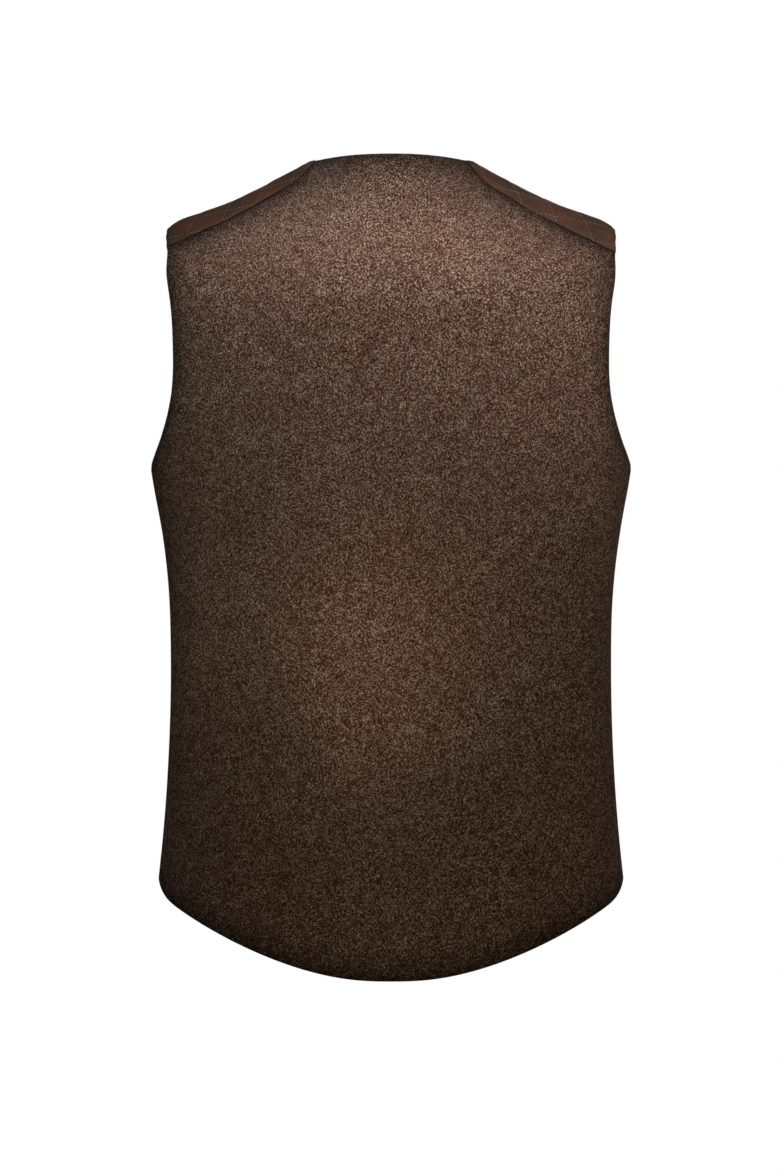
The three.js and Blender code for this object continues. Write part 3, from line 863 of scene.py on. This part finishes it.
# %% Draw the diamonds
QUILT_PITCH = 28 * MM
LOOKUP_REACH = 0.2 * MM  # a point further than this from the flat cut is off the cloth
QUILT_START = {"left": (3.5 * MM, 13.4 * MM), "right": (22.7 * MM, 18.3 * MM)}  # along each diagonal
DIAGONALS = (np.array((1, 1)) / math.sqrt(2), np.array((1, -1)) / math.sqrt(2))


def line_distance(uv, start):
    """Distance to the nearest stitched line of each family."""
    steps = [(uv @ d - at) / QUILT_PITCH for d, at in zip(DIAGONALS, start)]
    return [np.abs(s - np.round(s)) * QUILT_PITCH for s in steps]


class Lookup:
    """Finds the place on a sheet's outer face that a point of its flat cut stands for."""

    def __init__(self, mesh, places):
        self.uv = point_uv(mesh)
        self.places = places
        mesh.calc_loop_triangles()
        self.faces = np.array([t.vertices for t in mesh.loop_triangles])
        flat = [(u, v, 0.0) for u, v in self.uv]
        self.tree = BVHTree.FromPolygons(flat, self.faces.tolist())

    def __call__(self, uv):
        hit, _, index, far = self.tree.find_nearest((uv[0], uv[1], 0.0))
        if hit is None or far > LOOKUP_REACH:
            return None
        corner = self.faces[index]
        (a, b, c), (p, q, r) = self.uv[corner], self.places[corner]  # the triangle, flat and worn
        area = np.cross(b - a, c - a)
        s = np.cross(np.array(hit[:2]) - a, c - a) / area
        t = np.cross(b - a, np.array(hit[:2]) - a) / area
        normal = np.cross(q - p, r - p)
        return p + s * (q - p) + t * (r - p), normal / np.linalg.norm(normal)

# %% [markdown]
# ## The seam round a yoke
#
# The yoke's edge is sewn down wherever a loden edge lies beside it, which is all round but for the neck and
# the armhole. A walk along the outline gives the places of a near-black cord, painted shadow in the seam's ditch,
# and the cord stops a little short of the seam's corners.

# %% Walk along the seam
DITCH_STEP = 2.2 * MM
SEAM_NEAR = 3 * MM  # a loden edge nearer than this is sewn to the yoke
SEAM_SHORT = 2  # steps left free at each end of the seam
loden_edge = tree_of(loden_rims)


def seam_row(places, up, row):
    """Placings one after another along a yoke's outline, where a loden edge lies beside it."""
    path, lean = places[row], up[row]
    so_far = np.concatenate(([0.0], np.cumsum(np.linalg.norm(np.diff(path, axis=0), axis=1))))
    placings, sewn = [], []
    for s in np.arange(0.0, so_far[-1], DITCH_STEP):
        i = np.searchsorted(so_far, s, side="right") - 1
        t = (s - so_far[i]) / (so_far[i + 1] - so_far[i])
        at = path[i] + t * (path[i + 1] - path[i])
        placings.append((at, path[i + 1] - path[i], lean[i]))
        sewn.append(loden_edge.find(at)[2] < SEAM_NEAR)
    around = range(-SEAM_SHORT, SEAM_SHORT + 1)
    return [p for i, p in enumerate(placings) if all(sewn[(i + k) % len(sewn)] for k in around)]

# %% [markdown]
# ## Padding the yokes
#
# The height of the leather over the sheet is a sum: its own thickness, the padding of each diamond, and the
# unevenness of wadding. All but the first fade out at the edges. Solidify makes the second layer and the
# rim, and then the outer layer's points are put where the sum says.

# %% Quilt a yoke
LEATHER_BELOW = 1.9 * MM  # from the sheet up to the face of the loden beside it
LEATHER_ABOVE = 0.5 * MM  # of a stitched line above the loden
LINE_HALF = 1.1 * MM  # half the width of the groove that a stitched line pulls in
QUILT_PUFF = 0.8 * MM  # of a diamond's middle above its stitched lines
ARCH_FULLNESS = 0.45  # under 1, a diamond is fuller towards its stitched lines
ARCH_SHARE = 0.7  # of the padding, against the narrow groove along the lines
WADDING_UNEVEN = 0.15 * MM
WADDING_SIZE = 12 * MM
SEAM_PRESS = 5 * MM  # how far in from its edges the wadding is pressed flat
DITCH_DEEP = 0.55 * MM  # how far the cord of painted seam shadow lies under the leather's face


def quilted(side):
    """A padded yoke, a lookup for its stitches and the places of its seam."""
    cloth = sheet_of(f"shoulder_yoke_{side}", f"quilted_yoke_{side}", inside=True)
    cuts[side] = flat_cut(cloth, "front")
    refine(cloth, 3)
    mesh = cloth.data
    inner, out = corners(mesh), normals(mesh)
    one, other = line_distance(point_uv(mesh), QUILT_START[side])
    near = np.minimum(one, other)
    groove = np.exp(-((near / LINE_HALF) ** 2))
    arch = (np.sin(np.pi * one / QUILT_PITCH) * np.sin(np.pi * other / QUILT_PITCH)) ** ARCH_FULLNESS
    padding = LEATHER_ABOVE + QUILT_PUFF * (ARCH_SHARE * arch + (1 - ARCH_SHARE) * (1 - groove))
    padding += WADDING_UNEVEN * np.array([noise.noise(Vector(p) / WADDING_SIZE) for p in inner])
    press = np.clip(edge_distance(mesh) / SEAM_PRESS, 0, 1)
    press = press * press * (3 - 2 * press)
    lift = LEATHER_BELOW + padding * press
    # the groove mask also carries the leather's painted shade in the grooves
    marks = mesh.attributes.new("groove", "FLOAT", "POINT")
    marks.data.foreach_set("value", groove.astype(np.float32))
    outer = inner + out * lift[:, None]
    find = Lookup(mesh, outer)
    ditch = seam_row(inner + out * (LEATHER_BELOW - DITCH_DEEP), out, rim_row(mesh))
    apply(cloth, "SOLIDIFY", thickness=LEATHER_BELOW, offset=1, use_rim=True)
    both, half = corners(mesh), len(inner)
    first_is_inner = np.abs(both[:half] - inner).max() < np.abs(both[half:] - inner).max()
    put(mesh, np.concatenate((inner, outer) if first_is_inner else (outer, inner)))
    return cloth, find, ditch

# %% [markdown]
# ## Sewing the yokes
#
# The diamonds are quilted in a pale brown thread. Along the yoke's seam to the loden, close to its edge, a
# near-black cord lies in the ditch: painted shadow, the shade in the seam's ditch. Every stitch that shows is its own
# short piece of thread, which dips into the leather at both ends. A walk along each line on the flat cut gives
# the places, and the lookup lifts them onto the leather.

# %% Make thread
THREAD_RINGS = [  # place along the stitch, width and rise, as shares of its length and radius
    (-0.5, 0.35, -0.9), (-0.38, 0.85, -0.2), (-0.15, 1.0, 0.25),
    (0.15, 1.0, 0.25), (0.38, 0.85, -0.2), (0.5, 0.35, -0.9),
]


def capsule(length, radius, sides=6):
    """A short thread along X that dips at both ends, as rows of points and faces."""
    points, faces = [], []
    for at, swell, rise in THREAD_RINGS:
        for k in range(sides):
            a = 2 * math.pi * k / sides
            points.append((at * length, math.cos(a) * radius * swell, (math.sin(a) * swell + rise) * radius))
    last = len(points) - sides
    for ring in range(0, last, sides):
        for k in range(sides):
            a, b = ring + k, ring + (k + 1) % sides
            faces.append((a, a + sides, b + sides, b))
    faces.append(tuple(range(sides)))
    faces.append(tuple(reversed(range(last, last + sides))))
    return np.array(points), faces


def many(name, unit, placings):
    """One joined mesh of a unit at many placings: centre, along and up for each."""
    points, faces = unit
    rows, polys = [], []
    for centre, along, up in placings:
        along = along / np.linalg.norm(along)
        across = np.cross(up, along)
        across /= np.linalg.norm(across)
        up = np.cross(along, across)
        polys += [tuple(i + len(rows) * len(points) for i in f) for f in faces]
        rows.append(points[:, :1] * along + points[:, 1:2] * across + points[:, 2:] * up + centre)
    mesh = bpy.data.meshes.new(name)
    mesh.from_pydata(np.concatenate(rows).tolist(), [], polys)
    mesh.update()
    piece = linked(name, mesh)
    choose(piece)
    bpy.ops.object.shade_smooth()
    return piece


# %% Sew the yokes
STITCH = 3.0 * MM
STITCH_STEP = 3.7 * MM
THREAD_RADIUS = 0.28 * MM
DITCH_RADIUS = 0.6 * MM
DITCH_STITCH = 1.9 * DITCH_STEP  # long enough to overlap, so that the painted shadow along the seam is one dark line
LEATHER_ROUND = 0.8 * MM
QUILT_LINES = 12  # tried on each side of the first line, more than a yoke has


def stitched_row(lookup, start, heading, length):
    """Stitches one after another along a straight line of the flat cut."""
    row = []
    for k in range(int(length / STITCH_STEP)):
        at = start + heading * (k + 0.5) * STITCH_STEP
        ends = [lookup(at - heading * STITCH / 2), lookup(at + heading * STITCH / 2), lookup(at)]
        if all(end is not None for end in ends):
            row.append(((ends[0][0] + ends[1][0] + 2 * ends[2][0]) / 4, ends[1][0] - ends[0][0], ends[2][1]))
    return row


for side in ("left", "right"):
    cloth, find, ditch = quilted(side)
    reach = max(cuts[side]["flat"]) * 1.5
    sewn = []
    for d, run, at in zip(DIAGONALS, DIAGONALS[::-1], QUILT_START[side]):
        for k in range(-QUILT_LINES, QUILT_LINES + 1):
            sewn += stitched_row(find, d * (k * QUILT_PITCH + at) - run * reach, run, 2 * reach)
    threads = many(f"quilting_thread_{side}", capsule(STITCH, THREAD_RADIUS), sewn)
    threads.data.materials.append(thread)
    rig.ride(threads, "root")
    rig.slot(threads, "thread")
    # painted shadow: a near-black cord of overlapping pieces along the seam's ditch
    seam = many(f"seam_shadow_cord_{side}", capsule(DITCH_STITCH, DITCH_RADIUS), ditch)
    seam.data.materials.append(shadow_cord)
    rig.ride(seam, "root")
    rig.slot(seam, "thread")
    round_edges(cloth, LEATHER_ROUND)
    cloth.data.materials.append(leather)
    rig.ride(cloth, "root")
    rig.replaces(cloth, f"shoulder_yoke_{side}")
    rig.slot(cloth, "quilted_leather")
    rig.sheet(cloth, held="folded", **cuts[side])
    print(f"{side}: {len(sewn)} quilting stitches, {len(ditch)} in the seams")
    print(cloth.name, len(cloth.data.polygons), "faces")

# %% [markdown]
# ## Horn buttons
#
# A horn button is turned on a lathe: a rounded rim, a dished middle and four drilled holes. It is sewn
# crosswise, with three strands each way. One button and its strands are made at the origin, and the five
# are copies with a mesh of their own, each put where its solid is.

# %% Turn a button
BUTTON_RADIUS = 10 * MM
BUTTON_FOOT = 0.9  # of the radius, where the button lies on the cloth
BUTTON_STEPS = (  # rise in millimetres, and how much wider it gets
    (1.0, 1 / BUTTON_FOOT), (1.8, 1.0), (0.8, 0.9), (-0.3, 0.867), (-0.7, 0.846),
)
BUTTON_ROUND = 0.35 * MM
HOLE_RADIUS = 0.95 * MM
HOLE_APART = 1.95 * MM  # of a hole's middle from the button's axis, each way
HOLE_DEPTH = 12 * MM


def turned_button():
    """A button without holes, made as on a lathe: a disc drawn up and in, step by step."""
    bpy.ops.object.select_all(action="DESELECT")
    bpy.ops.mesh.primitive_circle_add(vertices=48, radius=BUTTON_RADIUS * BUTTON_FOOT, fill_type="NGON")
    disc = bpy.context.object
    bpy.ops.object.mode_set(mode="EDIT")
    bpy.ops.mesh.select_all(action="SELECT")
    for rise, widen in BUTTON_STEPS:
        bpy.ops.mesh.extrude_region_move(TRANSFORM_OT_translate={"value": (0, 0, rise * MM)})
        bpy.ops.transform.resize(value=(widen, widen, 1))
    bpy.ops.mesh.select_all(action="SELECT")
    bpy.ops.mesh.normals_make_consistent(inside=False)
    bpy.ops.object.mode_set(mode="OBJECT")
    apply(disc, "BEVEL", width=BUTTON_ROUND, segments=3, limit_method="ANGLE", angle_limit=math.radians(15))
    return disc


def drilled(disc):
    """The button with its four holes."""
    drills = []
    for x in (-HOLE_APART, HOLE_APART):
        for y in (-HOLE_APART, HOLE_APART):
            bpy.ops.object.select_all(action="DESELECT")
            bpy.ops.mesh.primitive_cylinder_add(
                vertices=20, radius=HOLE_RADIUS, depth=HOLE_DEPTH, location=(x, y, 0))
            drills.append(bpy.context.object)
    choose(*drills)
    bpy.ops.object.join()
    drill = bpy.context.object
    apply(disc, "BOOLEAN", operation="DIFFERENCE", object=drill, solver="EXACT")
    bpy.data.objects.remove(drill)
    choose(disc)
    bpy.ops.object.shade_smooth_by_angle(angle=math.radians(40))
    return disc


button = drilled(turned_button())
span = corners(button.data)
button.data.materials.append(horn)
print("button, mm:", ((span.max(0) - span.min(0)) / MM).round(2), len(button.data.polygons), "faces")

# %% Cross its threads
CROSS_Z = 2.65 * MM  # where the crossing threads lie on the dished middle
CROSS_SIDE = 0.42 * MM  # from one strand to the next
CROSS_RADIUS = 0.3 * MM
CROSS_LENGTH = 2 * HOLE_APART * math.sqrt(2) + 1.0 * MM  # from hole to hole, and down into both
UP = np.array((0.0, 0.0, 1.0))

crossing = []
for along in DIAGONALS:
    along = np.array((*along, 0.0))
    for step in (-CROSS_SIDE, 0.0, CROSS_SIDE):
        crossing.append((np.cross(UP, along) * step + CROSS_Z * UP, along, UP))
cross = many("cross_thread", capsule(CROSS_LENGTH, CROSS_RADIUS, sides=8), crossing)
cross.data.materials.append(thread)


# %% Seat the buttons
def seat(node):
    """The matrix that puts a button made at the origin where its solid is, facing out."""
    own = frame["nodes"][node]
    places = np.array([own.matrix_world @ v.co for v in own.data.vertices])
    centre = places.mean(0)
    axis = np.linalg.svd(places - centre, full_matrices=False)[2][2]
    axis = axis if axis[1] > 0 else -axis
    base = centre + axis * ((places - centre) @ axis).min()
    turn = Vector(axis).to_track_quat("Z", "X")
    return Matrix.Translation(Vector(base)) @ turn.to_matrix().to_4x4()


def placed(piece, name, matrix):
    """A copy with a mesh of its own, which is moved while the object stays at the origin."""
    copy = piece.copy()
    copy.data = piece.data.copy()
    copy.name = name
    copy.data.transform(matrix)
    bpy.context.scene.collection.objects.link(copy)
    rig.ride(copy, "root")
    return copy


BUTTONS = range(1, 6)
for i in BUTTONS:
    matrix = seat(f"button_{i}")
    made = placed(button, f"horn_button_{i}", matrix)
    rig.replaces(made, f"button_{i}")
    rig.slot(made, "horn")
    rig.slot(placed(cross, f"button_thread_{i}", matrix), "thread")
bpy.data.objects.remove(button)
bpy.data.objects.remove(cross)

# %% [markdown]
# ## Buttonholes
#
# The left front is the upper layer, so it has the five holes. Each is a cut across the front, from just
# past the button's middle to well beyond its rim, so that the button slips through. Close purl stitches keep
# it from fraying, with a bar across each end. A near-black cord along the cut is painted shade in the slit.
# They lie on the cloth, so each is placed by a ray onto it.

# %% Work the buttonholes
HOLE_FROM, HOLE_TO = 3 * MM, -19 * MM
PURL_STEP = 0.75 * MM
PURL_LONG = 2.2 * MM
PURL_RADIUS = 0.3 * MM
PURL_OFF = 1.3 * MM  # of a purl stitch's middle from the cut
BAR_SPREAD = 0.6 * PURL_LONG
CUT_STEP = 2 * MM
CUT_LONG = 1.3 * CUT_STEP
CUT_RADIUS = 0.4 * MM
ACROSS = np.array((1.0, 0.0, 0.0))

front = pieces["front_left"].data
front.calc_loop_triangles()
triangles = [tuple(t.vertices) for t in front.loop_triangles]
front_face = BVHTree.FromPolygons([v.co for v in front.vertices], triangles)


def on_front(x, z):
    """The place on the left front's outer face, and the way that it faces."""
    place, normal, _, _ = front_face.ray_cast(Vector((x, 1.0, z)), Vector((0, -1, 0)))
    return np.array(place), np.array(normal)


def middle_z(node):
    """The height of a solid's middle."""
    own = frame["nodes"][node]
    return (own.matrix_world @ (sum((v.co for v in own.data.vertices), Vector()) / len(own.data.vertices))).z


purls, slit_shades = [], []
for i in BUTTONS:
    z = middle_z(f"button_{i}")
    for x in np.arange(HOLE_TO, HOLE_FROM, PURL_STEP):
        for off in (-PURL_OFF, PURL_OFF):
            place, normal = on_front(x, z + off)
            purls.append((place, UP, normal))
    for x in (HOLE_TO - PURL_STEP, HOLE_FROM):
        for off in (-BAR_SPREAD, 0.0, BAR_SPREAD):
            place, normal = on_front(x, z + off)
            purls.append((place, UP, normal))
    # painted shade: a near-black cord along each cut stands for the shade in the slit
    for x in np.arange(HOLE_TO + CUT_STEP / 2, HOLE_FROM, CUT_STEP):
        place, normal = on_front(x, z)
        slit_shades.append((place, ACROSS, normal))
for name, unit, placings, finish in (
    ("buttonhole_stitches", capsule(PURL_LONG, PURL_RADIUS), purls, thread),
    ("buttonhole_slits", capsule(CUT_LONG, CUT_RADIUS), slit_shades, shadow_cord),
):
    made = many(name, unit, placings)
    made.data.materials.append(finish)
    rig.ride(made, "root")
    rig.slot(made, "thread")
    print(name, len(placings))

# %% [markdown]
# ## Sizes
#
# The boxes around the solids and around the finished vest are written down, so that the two can be compared.

# %% Where things were made
size_file = {"cad": [list(map(float, solid_low)), list(map(float, solid_high))]}
low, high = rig.bounds()
size_file["visual"] = [list(map(float, low)), list(map(float, high))]
with open("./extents.json", "w") as f:
    json.dump(size_file, f)
